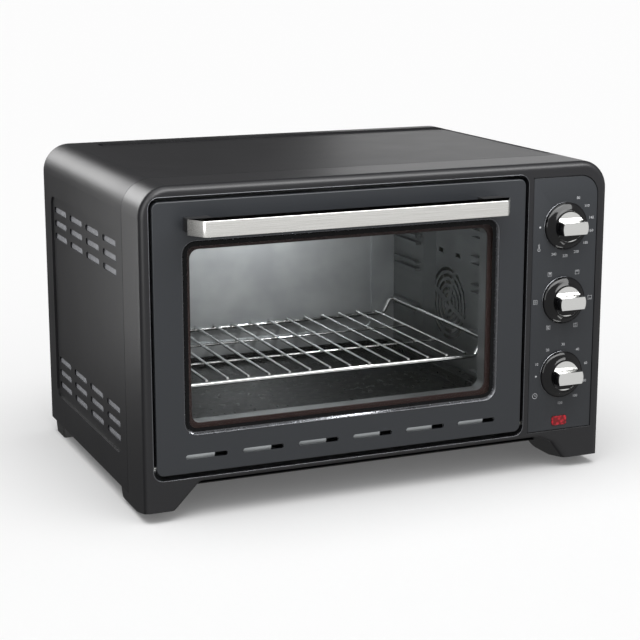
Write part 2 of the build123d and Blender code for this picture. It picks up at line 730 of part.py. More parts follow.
# each arm is an arc about the hinge axis, so it runs through its slot in the front frame as the door turns;
# the hook on its tail meets the frame from behind and stops the door flat
arm_back = front + door_depth
arm_tail = -23.0
hook_turn = 5.0
arm_turn = 105.0
with BuildPart() as door_arms:
    for across in arm_x:
        with BuildSketch(side_plane(across[0])):
            with BuildLine():
                CenterArc((hinge_y, hinge_z), arm_radii[1], arm_tail, arm_turn)
                CenterArc((hinge_y, hinge_z), arm_radii[0], arm_tail + hook_turn, arm_turn - hook_turn)
                CenterArc((hinge_y, hinge_z), hook_radius, arm_tail, hook_turn)
                for radii, turn in (((hook_radius, arm_radii[1]), arm_tail),
                                    ((hook_radius, arm_radii[0]), arm_tail + hook_turn),
                                    (arm_radii, arm_tail + arm_turn)):
                    Line(*[(hinge_y + r * cos(radians(turn)), hinge_z + r * sin(radians(turn))) for r in radii])
            make_face()
            limits_rectangle((arm_back - 20.0, arm_back), (hinge_z, hinge_z + 120.0), mode=Mode.SUBTRACT)
        extrude(amount=across[1] - across[0])
        limits_box((across[0], across[1]), (arm_back, arm_back + 4.4), (hinge_z + 76.0, hinge_z + 98.0))
        limits_box((across[0] - 3.0, across[1] + 3.0), (arm_back, arm_back + sheet), (hinge_z + 70.0, hinge_z + 104.0))
save(door_arms, "door_arms")

handle_x = (-231.0, 138.5)
handle_z = (308.0, 324.6)
trim_sheet = 1.2
handle_bend = 6.0
handle_face = front - handle_reach
end_run = (12.0, 20.0)
handle_plan = [
    (handle_x[0], handle_face + end_run[1]), (handle_x[0] + end_run[0], handle_face),
    (handle_x[1] - end_run[0], handle_face), (handle_x[1], handle_face + end_run[1]),
]
post_width = 26.0
grip_depth = 15.0
with BuildPart() as handle_trim:
    with BuildSketch(Plane.XY.offset(handle_z[0])):
        with BuildLine():
            FilletPolyline(*handle_plan, radius=handle_bend)
            offset(amount=trim_sheet, side=Side.LEFT)
        make_face()
    extrude(amount=handle_z[1] - handle_z[0])
save(handle_trim, "handle_trim")

with BuildPart() as handle_grip:
    with BuildSketch(Plane.XY.offset(handle_z[0] + 1.0)):
        with BuildLine():
            FilletPolyline(*handle_plan, radius=handle_bend)
            Line(handle_plan[-1], handle_plan[0])
        make_face()
        offset(amount=-(trim_sheet + 0.05), mode=Mode.REPLACE)
        limits_rectangle((handle_x[0] + 2.8, handle_x[1] - 2.8), (front - 22.0, front))
        limits_rectangle((handle_x[0] + 2.8 + post_width, handle_x[1] - 2.8 - post_width),
                         (handle_face + trim_sheet + grip_depth, front), mode=Mode.SUBTRACT)
    extrude(amount=handle_z[1] - handle_z[0] - 2.0)
    with BuildSketch(front_plane(front)):
        with Locations(handle_screw_places):
            Circle(2.1)
    extrude(amount=16.0, mode=Mode.SUBTRACT)
save(handle_grip, "handle_grip")

with BuildPart() as handle_screws:
    with BuildSketch(front_plane(front + door_sheet)):
        with Locations(handle_screw_places):
            Circle(2.0)
    extrude(amount=14.0)
    with BuildSketch(front_plane(front + door_sheet)):
        with Locations(handle_screw_places):
            Circle(4.5)
    extrude(amount=-2.5)
save(handle_screws, "handle_screws")

# ---- controls --------------------------------------------------------------
panel_face = front + 1.0
panel_thickness = 2.5
lens_x = (knob_x - 9.5, knob_x + 9.5)
lens_z = (52.5, 63.5)
bracket_y = (front + 16.0, front + 17.2)
with BuildPart() as control_panel:
    with BuildSketch(front_plane(panel_face)):
        with BuildLine():
            panel_lines(0)
        make_face()
        with Locations([(knob_x, z) for z in knob_heights.values()]):
            Circle(shaft_radius + 1.5, mode=Mode.SUBTRACT)
        limits_rectangle(lens_x, lens_z, 2.5, grow=0.1, mode=Mode.SUBTRACT)
    extrude(amount=-panel_thickness)
save(control_panel, "control_panel")

with BuildPart() as indicator_lens:
    with BuildSketch(front_plane(panel_face + panel_thickness)):
        limits_rectangle(lens_x, lens_z, 2.5)
    extrude(amount=panel_thickness + 1.2)
    fillet(indicator_lens.faces().sort_by(Axis.Y)[0].edges(), 0.9)
    with BuildSketch(front_plane(panel_face + panel_thickness)):
        limits_rectangle(lens_x, lens_z, 2.5, grow=2)
    extrude(amount=-1.5)
save(indicator_lens, "indicator_lens")

with BuildPart() as indicator_lamp:
    with BuildSketch(front_plane(panel_face + panel_thickness + 2.0)):
        with Locations((knob_x, 58.0)):
            Circle(3.0)
    extrude(amount=-16.0)
save(indicator_lamp, "indicator_lamp")

with BuildPart() as control_bracket:
    with BuildSketch(front_plane(bracket_y[0])):
        limits_rectangle((panel_x[0] + 6.0, panel_x[1] - 6.0), (72.0, 330.0), 3)
        with Locations([(knob_x, z) for z in knob_heights.values()]):
            Circle(6.0, mode=Mode.SUBTRACT)
    extrude(amount=-(bracket_y[1] - bracket_y[0]))
    for z in (76.0, 322.0):
        limits_box((panel_x[0] + 20.0, panel_x[1] - 20.0), (panel_face + panel_thickness, bracket_y[0]), (z, z + 4.0))
save(control_bracket, "control_bracket")

device_size = {"thermostat": (44.0, 40.0, 26.0), "selector": (42.0, 42.0, 30.0), "timer": (52.0, 50.0, 34.0)}
device_label = {"thermostat": "thermostat", "selector": "selector_switch", "timer": "timer"}
knob_back = panel_face - 0.8
base_depth = 9.0
cap_y = panel_face - 12.5
grip_y = panel_face - knob_reach
grip_height = 15.0
for control, z in knob_heights.items():
    with BuildPart() as device:
        with BuildSketch(front_plane(bracket_y[1])):
            with Locations((knob_x, z)):
                RectangleRounded(device_size[control][0], device_size[control][1], 4)
        extrude(amount=-device_size[control][2])
        with BuildSketch(front_plane(bracket_y[1])):
            with Locations((knob_x, z)):
                Circle(5.5)
        extrude(amount=4.0)
        with BuildSketch(front_plane(bracket_y[1] - 4.0)):
            with Locations((knob_x, z)):
                Circle(shaft_radius + 0.05)
        extrude(amount=-16.0, mode=Mode.SUBTRACT)
    save(device, device_label[control])

    with BuildPart() as shaft:
        with BuildSketch(front_plane(bracket_y[1] + 10.0)):
            with Locations((knob_x, z)):
                Circle(shaft_radius)
        extrude(amount=bracket_y[1] + 10.0 - cap_y)
    save(shaft, f"{control}_shaft")

    with BuildPart() as knob_base:
        with BuildSketch(front_plane(knob_back)):
            with Locations((knob_x, z)):
                Circle(knob_radius)
        extrude(amount=3.0)
        with BuildSketch(front_plane(knob_back - 3.0)):
            with Locations((knob_x, z)):
                Circle(knob_radius)
        with BuildSketch(front_plane(knob_back - base_depth)):
            with Locations((knob_x, z)):
                Circle(cap_radius + 2.5)
        loft()
        with BuildSketch(front_plane(knob_back)):
            with Locations((knob_x, z)):
                Circle(shaft_radius + 0.02)
        extrude(amount=base_depth, mode=Mode.SUBTRACT)
    save(knob_base, f"{control}_knob_base")

    with BuildPart() as knob_grip:
        with BuildSketch(front_plane(knob_back - base_depth)):
            with Locations((knob_x, z)):
                Circle(cap_radius)
        extrude(amount=knob_back - base_depth - grip_y)
        fillet(knob_grip.faces().sort_by(Axis.Y)[0].edges(), 2.0)
        for side in (-1, 1):
            with BuildSketch(side_plane(knob_x - cap_radius)):
                with BuildLine():
                    Polyline(
                        (grip_y - 1, z + side * (grip_height / 2 - 0.6)), (cap_y, z + side * grip_height / 2),
                        (cap_y + 1.5, z + side * (grip_height / 2 + 2.5)), (cap_y + 3.5, z + side * 30.0),
                        (grip_y - 1, z + side * 30.0), close=True)
                make_face()
            extrude(amount=2 * cap_radius, mode=Mode.SUBTRACT)
        with BuildSketch(front_plane(knob_back - base_depth)):
            with Locations((knob_x, z)):
                Circle(shaft_radius + 0.02)
        extrude(amount=knob_back - base_depth - cap_y, mode=Mode.SUBTRACT)
    save(knob_grip, f"{control}_knob_grip")

with BuildPart() as temperature_probe:
    with BuildSketch(front_plane(front + 110.0)):
        with Locations((126.0, 316.5)):
            Circle(2.2)
    extrude(amount=-90.0)
    for y in (front + 120.0, front + 184.0):
        limits_box((123.0, 129.0), (y, y + 5.0), (317.5, cavity_z[1]))
save(temperature_probe, "temperature_probe")
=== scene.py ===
import json
import math

import bpy
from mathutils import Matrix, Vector


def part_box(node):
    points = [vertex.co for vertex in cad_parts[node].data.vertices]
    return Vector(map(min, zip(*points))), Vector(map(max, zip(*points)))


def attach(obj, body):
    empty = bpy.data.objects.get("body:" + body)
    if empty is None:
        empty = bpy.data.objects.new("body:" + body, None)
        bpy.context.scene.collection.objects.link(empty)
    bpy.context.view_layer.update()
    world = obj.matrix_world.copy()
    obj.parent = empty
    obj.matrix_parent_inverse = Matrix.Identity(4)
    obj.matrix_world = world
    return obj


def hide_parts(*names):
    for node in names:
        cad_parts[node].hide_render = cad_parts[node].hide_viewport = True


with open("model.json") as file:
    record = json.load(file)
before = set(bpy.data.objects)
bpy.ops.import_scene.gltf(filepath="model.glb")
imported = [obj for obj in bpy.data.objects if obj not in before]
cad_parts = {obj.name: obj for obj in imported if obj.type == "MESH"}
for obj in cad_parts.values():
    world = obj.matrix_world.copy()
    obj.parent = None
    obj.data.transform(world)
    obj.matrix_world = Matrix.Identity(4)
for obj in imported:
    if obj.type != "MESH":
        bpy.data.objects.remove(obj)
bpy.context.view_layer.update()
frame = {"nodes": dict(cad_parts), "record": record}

# A counter-top electric oven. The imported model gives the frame: the CAD nodes whose shape is right get
# their material here, and the ones that need a finer surface are replaced by a piece made for it.

nodes = frame["nodes"]
mm = 0.001


def linear(hexColour):  # an sRGB hex value as the linear colour that a shader takes
    channels = []
    for start in (1, 3, 5):
        value = int(hexColour[start:start + 2], 16) / 255
        channels.append(value / 12.92 if value <= 0.04045 else ((value + 0.055) / 1.055) ** 2.4)
    return (*channels, 1.0)


def addNode(tree, kind, settings=None, links=None):  # a node with its attributes, socket values and links
    node = tree.nodes.new(kind)
    for name, value in (settings or {}).items():
        if hasattr(node, name):
            setattr(node, name, value)
        else:
            node.inputs[name].default_value = value
    for name, source in (links or {}).items():
        tree.links.new(source, node.inputs[name])
    return node


def perMetre(size):  # how many features of a size in millimetres fit in a metre
    return 1000.0 / size


def newMaterial(name, colour, roughness, metallic=0.0, **sockets):  # a shader, and the object's coordinates
    material = bpy.data.materials.new(name)
    material.use_nodes = True
    tree = material.node_tree
    tree.nodes.clear()
    shader = addNode(tree, "ShaderNodeBsdfPrincipled", {
        "Base Color": linear(colour), "Roughness": roughness, "Metallic": metallic, **sockets})
    addNode(tree, "ShaderNodeOutputMaterial", links={"Surface": shader.outputs["BSDF"]})
    place = addNode(tree, "ShaderNodeTexCoord")
    return material, tree, shader, place.outputs["Object"]


def driveRoughness(tree, shader, source, low, high):  # roughness that wanders between two values
    spread = addNode(tree, "ShaderNodeMapRange", {
        "From Min": 0.3, "From Max": 0.7, "To Min": low, "To Max": high}, {"Value": source})
    tree.links.new(spread.outputs["Result"], shader.inputs["Roughness"])


def driveColour(tree, shader, source, dark, light, low=0.35, high=0.65):  # colour between two values
    ramp = addNode(tree, "ShaderNodeValToRGB", links={"Fac": source})
    ramp.color_ramp.elements[0].position = low
    ramp.color_ramp.elements[0].color = linear(dark)
    ramp.color_ramp.elements[1].position = high
    ramp.color_ramp.elements[1].color = linear(light)
    tree.links.new(ramp.outputs["Color"], shader.inputs["Base Color"])


def raiseSurface(tree, shader, source, depth):  # bump of a depth in millimetres
    bump = addNode(tree, "ShaderNodeBump", {"Distance": depth * mm, "Strength": 1.0}, {"Height": source})
    tree.links.new(bump.outputs["Normal"], shader.inputs["Normal"])


def satinPowderCoat():  # powder-coated sheet: black, satin, with the fine orange peel of a baked powder
    grain = {"peel": 0.9, "cloud": 60.0, "depth": 0.012}
    material, tree, shader, place = newMaterial("satinPowderCoat", "#101012", 0.4, **{
        "IOR": 1.5, "Specular IOR Level": 0.27})
    cloud = addNode(tree, "ShaderNodeTexNoise", {
        "Scale": perMetre(grain["cloud"]), "Detail": 3.0}, {"Vector": place})
    driveRoughness(tree, shader, cloud.outputs["Fac"], 0.39, 0.42)
    driveColour(tree, shader, cloud.outputs["Fac"], "#0f0f11", "#131315")
    peel = addNode(tree, "ShaderNodeTexNoise", {
        "Scale": perMetre(grain["peel"]), "Detail": 1.0}, {"Vector": place})
    raiseSurface(tree, shader, peel.outputs["Fac"], grain["depth"])
    return material


def mouldedBezelPlastic():  # injection-moulded heat-proof plastic with a fine spark-eroded grain
    grain = {"spark": 0.6, "depth": 0.01}
    material, tree, shader, place = newMaterial("mouldedBezelPlastic", "#121214", 0.34, **{
        "IOR": 1.52, "Specular IOR Level": 0.32})
    spark = addNode(tree, "ShaderNodeTexNoise", {
        "Scale": perMetre(grain["spark"]), "Detail": 2.0}, {"Vector": place})
    driveRoughness(tree, shader, spark.outputs["Fac"], 0.33, 0.40)
    raiseSurface(tree, shader, spark.outputs["Fac"], grain["depth"])
    return material


def anthraciteSatinCoat():  # stove-enamelled steel panel: dark grey with a soft metallic flake
    grain = {"flake": 0.35, "cloud": 90.0, "depth": 0.006}
    material, tree, shader, place = newMaterial("anthraciteSatinCoat", "#222427", 0.34, 0.2, **{
        "IOR": 1.5, "Specular IOR Level": 0.4})
    flake = addNode(tree, "ShaderNodeTexVoronoi", {"Scale": perMetre(grain["flake"])}, {"Vector": place})
    driveColour(tree, shader, flake.outputs["Distance"], "#1f2124", "#27292c", 0.1, 0.9)
    cloud = addNode(tree, "ShaderNodeTexNoise", {
        "Scale": perMetre(grain["cloud"]), "Detail": 2.0}, {"Vector": place})
    driveRoughness(tree, shader, cloud.outputs["Fac"], 0.31, 0.38)
    raiseSurface(tree, shader, flake.outputs["Distance"], grain["depth"])
    return material


def brushedStainless():  # stainless strip brushed along its length: fine lines stretch each highlight
    grain = {"length": 60.0, "line": 0.25, "depth": 0.006}
    material, tree, shader, place = newMaterial("brushedStainless", "#dddcd8", 0.26, 1.0, **{
        "Anisotropic": 0.5})
    alongLines, acrossLines = perMetre(grain["length"]), perMetre(grain["line"])
    stretch = addNode(tree, "ShaderNodeMapping", {
        "Scale": (alongLines, acrossLines, acrossLines)}, {"Vector": place})
    lines = addNode(tree, "ShaderNodeTexNoise", {
        "Scale": 1.0, "Detail": 2.0}, {"Vector": stretch.outputs["Vector"]})
    driveRoughness(tree, shader, lines.outputs["Fac"], 0.20, 0.34)
    driveColour(tree, shader, lines.outputs["Fac"], "#d0cfcb", "#e6e5e2")
    raiseSurface(tree, shader, lines.outputs["Fac"], grain["depth"])
    return material


def polishedSteel():  # polished and chromed metal, nearly a mirror, with faint handling haze
    grain = {"haze": 12.0}
    material, tree, shader, place = newMaterial("polishedSteel", "#dcdcdb", 0.09, 1.0)
    haze = addNode(tree, "ShaderNodeTexNoise", {
        "Scale": perMetre(grain["haze"]), "Detail": 3.0}, {"Vector": place})
    driveRoughness(tree, shader, haze.outputs["Fac"], 0.06, 0.14)
    return material


def darkChrome():  # smoked chrome on thin moulded edges: black until it turns to the light
    grain = {"haze": 5.0}
    material, tree, shader, place = newMaterial("darkChrome", "#66676a", 0.24, 1.0)
    haze = addNode(tree, "ShaderNodeTexNoise", {
        "Scale": perMetre(grain["haze"]), "Detail": 2.0}, {"Vector": place})
    driveRoughness(tree, shader, haze.outputs["Fac"], 0.2, 0.3)
    return material


def satinChrome():  # satin-chromed plastic caps: soft metallic highlights
    grain = {"haze": 4.0}
    material, tree, shader, place = newMaterial("satinChrome", "#d8d8d6", 0.2, 1.0)
    haze = addNode(tree, "ShaderNodeTexNoise", {
        "Scale": perMetre(grain["haze"]), "Detail": 2.0}, {"Vector": place})
    driveRoughness(tree, shader, haze.outputs["Fac"], 0.16, 0.24)
    return material


def aluminisedSheet(name, colour, dark, light):  # rolled aluminised steel: dull silver, rolling lines, stains
    grain = {"line": 1.4, "length": 160.0, "stain": 45.0, "depth": 0.01}
    material, tree, shader, place = newMaterial(name, colour, 0.42, 0.75)
    alongLines, acrossLines = perMetre(grain["length"]), perMetre(grain["line"])
    stretch = addNode(tree, "ShaderNodeMapping", {
        "Scale": (alongLines, alongLines, acrossLines)}, {"Vector": place})
    lines = addNode(tree, "ShaderNodeTexNoise", {
        "Scale": 1.0, "Detail": 3.0}, {"Vector": stretch.outputs["Vector"]})
    driveRoughness(tree, shader, lines.outputs["Fac"], 0.36, 0.50)
    stain = addNode(tree, "ShaderNodeTexNoise", {
        "Scale": perMetre(grain["stain"]), "Detail": 4.0}, {"Vector": place})
    driveColour(tree, shader, stain.outputs["Fac"], dark, light, 0.3, 0.7)
    raiseSurface(tree, shader, lines.outputs["Fac"], grain["depth"])
    return material


def platedWire():  # bright zinc and chrome plate on round wire
    grain = {"haze": 3.0, "depth": 0.01}
    material, tree, shader, place = newMaterial("platedWire", "#d9dad9", 0.16, 1.0)
    haze = addNode(tree, "ShaderNodeTexNoise", {
        "Scale": perMetre(grain["haze"]), "Detail": 2.0}, {"Vector": place})
    driveRoughness(tree, shader, haze.outputs["Fac"], 0.12, 0.24)
    raiseSurface(tree, shader, haze.outputs["Fac"], grain["depth"])
    return material


def blackEnamel():  # vitreous enamel on pressed steel: deep black, glassy, slightly uneven
    grain = {"peel": 9.0, "depth": 0.008}
    material, tree, shader, place = newMaterial("blackEnamel", "#070708", 0.34, **{
        "IOR": 1.52, "Specular IOR Level": 0.12})
    peel = addNode(tree, "ShaderNodeTexNoise", {
        "Scale": perMetre(grain["peel"]), "Detail": 2.0}, {"Vector": place})
    driveRoughness(tree, shader, peel.outputs["Fac"], 0.26, 0.36)
    raiseSurface(tree, shader, peel.outputs["Fac"], grain["depth"])
    return material


def louvreSheenGrey():  # blades in the side slots: flat mid grey as a painted sheen for the light they catch from above, a little dusty
    grain = {"dust": 5.0}
    material, tree, shader, place = newMaterial("louvreSheenGrey", "#6c6d71", 0.5, 0.3)
    dust = addNode(tree, "ShaderNodeTexNoise", {
        "Scale": perMetre(grain["dust"]), "Detail": 4.0}, {"Vector": place})
    driveColour(tree, shader, dust.outputs["Fac"], "#646569", "#747579")
    return material


def siliconeSeal(name, dark, light):  # moulded silicone: matt, slightly dusty
    grain = {"dust": 2.0, "depth": 0.03}
    material, tree, shader, place = newMaterial(name, dark, 0.62, **{"IOR": 1.41})
    dust = addNode(tree, "ShaderNodeTexNoise", {
        "Scale": perMetre(grain["dust"]), "Detail": 4.0}, {"Vector": place})
    driveColour(tree, shader, dust.outputs["Fac"], dark, light)
    driveRoughness(tree, shader, dust.outputs["Fac"], 0.55, 0.7)
    raiseSurface(tree, shader, dust.outputs["Fac"], grain["depth"])
    return material


def toughenedGlass():  # clear float glass: only its faint tint and its edge show
    grain = {"smear": 35.0}
    material, tree, shader, place = newMaterial("toughenedGlass", "#10130f", 0.02, **{
        "IOR": 1.5, "Alpha": 0.09})
    smear = addNode(tree, "ShaderNodeTexNoise", {
        "Scale": perMetre(grain["smear"]), "Detail": 3.0}, {"Vector": place})
    driveRoughness(tree, shader, smear.outputs["Fac"], 0.01, 0.05)
    return material


def ceramicFrit():  # black glass ink fired on the pane: dense, even and slightly glossy
    grain = {"speck": 0.8}
    material, tree, shader, place = newMaterial("ceramicFrit", "#050506", 0.25, **{
        "IOR": 1.5, "Specular IOR Level": 0.12})
    speck = addNode(tree, "ShaderNodeTexNoise", {
        "Scale": perMetre(grain["speck"]), "Detail": 1.0}, {"Vector": place})
    driveRoughness(tree, shader, speck.outputs["Fac"], 0.22, 0.3)
    return material


def steatite():  # unglazed steatite: off-white, chalky, with fine pits
    grain = {"pit": 0.8, "depth": 0.05}
    material, tree, shader, place = newMaterial("steatite", "#e3dfd2", 0.75)
    pit = addNode(tree, "ShaderNodeTexNoise", {
        "Scale": perMetre(grain["pit"]), "Detail": 4.0}, {"Vector": place})
    driveColour(tree, shader, pit.outputs["Fac"], "#d6d1c2", "#ebe8de")
    raiseSurface(tree, shader, pit.outputs["Fac"], grain["depth"])
    return material


def heatedSheath():  # steel heater sheath, dulled and mottled brown by heat
    grain = {"mottle": 9.0, "scale": 1.2, "depth": 0.02}
    material, tree, shader, place = newMaterial("heatedSheath", "#5c554e", 0.5, 0.8)
    mottle = addNode(tree, "ShaderNodeTexNoise", {
        "Scale": perMetre(grain["mottle"]), "Detail": 5.0}, {"Vector": place})
    driveColour(tree, shader, mottle.outputs["Fac"], "#4a443f", "#756c63", 0.3, 0.7)
    driveRoughness(tree, shader, mottle.outputs["Fac"], 0.42, 0.6)
    flake = addNode(tree, "ShaderNodeTexNoise", {
        "Scale": perMetre(grain["scale"]), "Detail": 2.0}, {"Vector": place})
    raiseSurface(tree, shader, flake.outputs["Fac"], grain["depth"])
    return material


def zincPlate():  # passivated zinc plate: pale, faintly yellow and blue in patches
    grain = {"patch": 18.0, "depth": 0.01}
    material, tree, shader, place = newMaterial("zincPlate", "#b9bcbc", 0.36, 0.95)
    patch = addNode(tree, "ShaderNodeTexNoise", {
        "Scale": perMetre(grain["patch"]), "Detail": 3.0}, {"Vector": place})
    driveColour(tree, shader, patch.outputs["Fac"], "#b3b6ba", "#c3c2b4", 0.3, 0.7)
    driveRoughness(tree, shader, patch.outputs["Fac"], 0.3, 0.42)
    raiseSurface(tree, shader, patch.outputs["Fac"], grain["depth"])
    return material


def motorSteel():  # oiled lamination steel: stacked sheets, darker than the plate round them
    grain = {"sheets": 3.0, "depth": 0.05}
    material, tree, shader, place = newMaterial("motorSteel", "#7d7f80", 0.4, 0.9)
    sheetLines = addNode(tree, "ShaderNodeTexWave", {
        "bands_direction": "X", "Scale": perMetre(grain["sheets"]), "Distortion": 0.2}, {"Vector": place})
    driveColour(tree, shader, sheetLines.outputs["Fac"], "#6c6e70", "#8b8d8e", 0.2, 0.8)
    raiseSurface(tree, shader, sheetLines.outputs["Fac"], grain["depth"])
    return material


def pressedAluminium():  # mill-finish aluminium: soft grey with faint rolling streaks
    grain = {"streak": 7.0}
    material, tree, shader, place = newMaterial("pressedAluminium", "#b9bbbd", 0.38, 1.0)
    streak = addNode(tree, "ShaderNodeTexNoise", {
        "Scale": perMetre(grain["streak"]), "Detail": 4.0}, {"Vector": place})
    driveRoughness(tree, shader, streak.outputs["Fac"], 0.3, 0.45)
    return material


def naturalNylon():  # undyed nylon and phenolic: cream, waxy
    grain = {"tone": 14.0}
    material, tree, shader, place = newMaterial("naturalNylon", "#cfc9b6", 0.48, **{
        "Subsurface Weight": 0.1})
    tone = addNode(tree, "ShaderNodeTexNoise", {
        "Scale": perMetre(grain["tone"]), "Detail": 3.0}, {"Vector": place})
    driveColour(tree, shader, tone.outputs["Fac"], "#c6bfaa", "#d6d1c0")
    return material


def glossBlackPlastic():  # polished black ABS, the knob dishes: sharp highlights over deep black
    grain = {"haze": 6.0}
    material, tree, shader, place = newMaterial("glossBlackPlastic", "#050506", 0.12, **{
        "IOR": 1.54, "Specular IOR Level": 0.22})
    haze = addNode(tree, "ShaderNodeTexNoise", {
        "Scale": perMetre(grain["haze"]), "Detail": 2.0}, {"Vector": place})
    driveRoughness(tree, shader, haze.outputs["Fac"], 0.07, 0.15)
    return material


def satinBlackPlastic():  # glass-filled nylon: black, dry, evenly grained
    grain = {"spark": 0.7, "depth": 0.02}
    material, tree, shader, place = newMaterial("satinBlackPlastic", "#141415", 0.45, **{"IOR": 1.53})
    spark = addNode(tree, "ShaderNodeTexNoise", {
        "Scale": perMetre(grain["spark"]), "Detail": 2.0}, {"Vector": place})
    driveRoughness(tree, shader, spark.outputs["Fac"], 0.4, 0.52)
    raiseSurface(tree, shader, spark.outputs["Fac"], grain["depth"])
    return material


def redLensPlastic():  # clear red polycarbonate, prisms moulded behind: light gathers under the surface; the lighter red at each prism's centre is a painted glint
    grain = {"prism": 4.5, "depth": 0.35}
    material, tree, shader, place = newMaterial("redLensPlastic", "#7a0912", 0.12, **{
        "IOR": 1.58, "Subsurface Weight": 0.15, "Subsurface Radius": (0.004, 0.0008, 0.0005),
        "Specular IOR Level": 0.25})
    prisms = addNode(tree, "ShaderNodeTexVoronoi", {"Scale": perMetre(grain["prism"])}, {"Vector": place})
    # painted glint: each prism lighter red at its centre, darker at its edge
    driveColour(tree, shader, prisms.outputs["Distance"], "#a81e2a", "#5c050c", 0.15, 0.6)
    raiseSurface(tree, shader, prisms.outputs["Distance"], grain["depth"])
    return material


def lampGlass():  # small neon lamp: thin clear glass, tinted orange by the gas
    grain = {"streak": 2.0}
    material, tree, shader, place = newMaterial("lampGlass", "#f0b89a", 0.08, **{"IOR": 1.47, "Alpha": 0.6})
    streak = addNode(tree, "ShaderNodeTexNoise", {"Scale": perMetre(grain["streak"])}, {"Vector": place})
    driveRoughness(tree, shader, streak.outputs["Fac"], 0.05, 0.12)
    return material


def screenInk():  # screen-printed epoxy ink: flat pale grey, faintly speckled
    grain = {"speck": 0.5}
    material, tree, shader, place = newMaterial("screenInk", "#8f9092", 0.5)
    speck = addNode(tree, "ShaderNodeTexNoise", {
        "Scale": perMetre(grain["speck"]), "Detail": 2.0}, {"Vector": place})
    driveColour(tree, shader, speck.outputs["Fac"], "#858688", "#9a9b9d")
    return material


finishes = {
    "cabinet_paint": satinPowderCoat(),
    "bezel_plastic": mouldedBezelPlastic(),
    "panel_paint": anthraciteSatinCoat(),
    "foot_plastic": satinBlackPlastic(),
    "zinc_steel": zincPlate(),
    "cavity_steel": aluminisedSheet("aluminisedSheet", "#b4b8b9", "#aaaeb0", "#bec2c3"),
    "heater_sheath": heatedSheath(),
    "bush_ceramic": steatite(),
    "motor_steel": motorSteel(),
    "fan_aluminium": pressedAluminium(),
    "switch_plastic": naturalNylon(),
    "bright_wire": platedWire(),
    "tray_enamel": blackEnamel(),
    "polished_steel": polishedSteel(),
    "handle_steel": brushedStainless(),
    "knob_plastic": glossBlackPlastic(),
    "window_glass": toughenedGlass(),
    "lamp_lens": redLensPlastic(),
    "lamp_glass": lampGlass(),
    "seal_rubber": siliconeSeal("blackSilicone", "#151414", "#1e1c1c"),
}
finishes["handle_plastic"] = finishes["foot_plastic"]
finishes["edge_chrome"] = darkChrome()
knobChrome = satinChrome()
louvrePaintedSheen = louvreSheenGrey()
doorSealRed = siliconeSeal("oxideRedSilicone", "#1b0c0a", "#26120f")
frit = ceramicFrit()
ink = screenInk()

for subpart in frame["record"]["subparts"]:
    node = nodes[subpart["node"]]
    node.data.materials.clear()
    node.data.materials.append(finishes[subpart["material_slot"]])
nodes["glass_gasket"].data.materials[0] = doorSealRed
# painted shade: a darker copy of the aluminised sheet stands in for the shade on the cavity's right wall and
# the door's inner frame
shadedCavitySheet = aluminisedSheet("shadedAluminisedSheet", "#6e7172", "#66696a", "#787b7c")
for node in ("cavity_right_wall", "door_inner_frame"):  # painted shade: these parts get a darker copy of the cavity sheet
    nodes[node].data.materials[0] = shadedCavitySheet
bodies = frame["record"]["behaviour"]["bodies"]
bodyOf = {node: body for body, members in bodies.items() for node in members}
slotOf = {subpart["node"]: subpart["material_slot"] for subpart in frame["record"]["subparts"]}
print("materials: every CAD node has its finish")


def deselect():
    if bpy.context.object and bpy.context.object.mode != "OBJECT":
        bpy.ops.object.mode_set(mode="OBJECT")
    bpy.ops.object.select_all(action="DESELECT")


def choose(piece):
    deselect()
    piece.select_set(True)
    bpy.context.view_layer.objects.active = piece


def useModifier(piece, kind, **settings):  # adds a modifier and applies it at once
    choose(piece)
    modifier = piece.modifiers.new(kind.title(), kind)
    for name, value in settings.items():
        setattr(modifier, name, value)
    bpy.ops.object.modifier_apply(modifier=modifier.name)


def keep(piece, name, body, material, angle=35):  # a finished piece's name, finish and body
    choose(piece)
    bpy.ops.object.transform_apply(location=True, rotation=True, scale=True)
    bpy.ops.object.shade_smooth_by_angle(angle=math.radians(angle))
    piece.name = name
    piece.data.name = name
    piece.data.materials.clear()
    piece.data.materials.append(material)
    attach(piece, body)
    return piece


def soften(node, edge, material=None, steps=3, limit=30):  # stands a rounded copy in for a sharp-edged node
    mend = {"merge": 0.005, "flat": 0.5}  # millimetres and degrees
    piece = nodes[node].copy()
    piece.data = nodes[node].data.copy()
    piece.parent = None
    for key in list(piece.keys()):
        del piece[key]
    bpy.context.scene.collection.objects.link(piece)
    choose(piece)
    bpy.ops.object.mode_set(mode="EDIT")
    bpy.ops.mesh.select_all(action="SELECT")
    bpy.ops.mesh.remove_doubles(threshold=mend["merge"] * mm)
    bpy.ops.mesh.dissolve_limited(angle_limit=math.radians(mend["flat"]))
    bpy.ops.object.mode_set(mode="OBJECT")
    useModifier(piece, "BEVEL", width=edge * mm, segments=steps, limit_method="ANGLE",
                angle_limit=math.radians(limit), use_clamp_overlap=True)
    useModifier(piece, "TRIANGULATE")
    keep(piece, node + "Soft", bodyOf[node], material or finishes[slotOf[node]], angle=40)
    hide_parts(node)
    return piece


def turned(centre, steps, sides=96):  # a round front-to-back piece from (radius, distance forward) steps
    deselect()
    x, y, z = centre
    firstRadius, firstStep = steps[0]
    bpy.ops.mesh.primitive_circle_add(vertices=sides, radius=firstRadius * mm, fill_type="NGON",
                                      location=(x, y - firstStep * mm, z), rotation=(math.radians(90), 0, 0))
    piece = bpy.context.object
    bpy.ops.object.transform_apply(location=True, rotation=True, scale=True)
    bpy.ops.object.mode_set(mode="EDIT")
    bpy.ops.mesh.select_all(action="SELECT")
    for (lastRadius, lastStep), (radius, step) in zip(steps, steps[1:]):
        bpy.ops.mesh.extrude_region_move(TRANSFORM_OT_translate={"value": (0, (lastStep - step) * mm, 0)})
        grow = radius / lastRadius
        bpy.ops.transform.resize(value=(grow, 1, grow), center_override=(x, y - step * mm, z))
    bpy.ops.mesh.select_all(action="SELECT")
    bpy.ops.mesh.normals_make_consistent(inside=False)
    bpy.ops.object.mode_set(mode="OBJECT")
    return piece


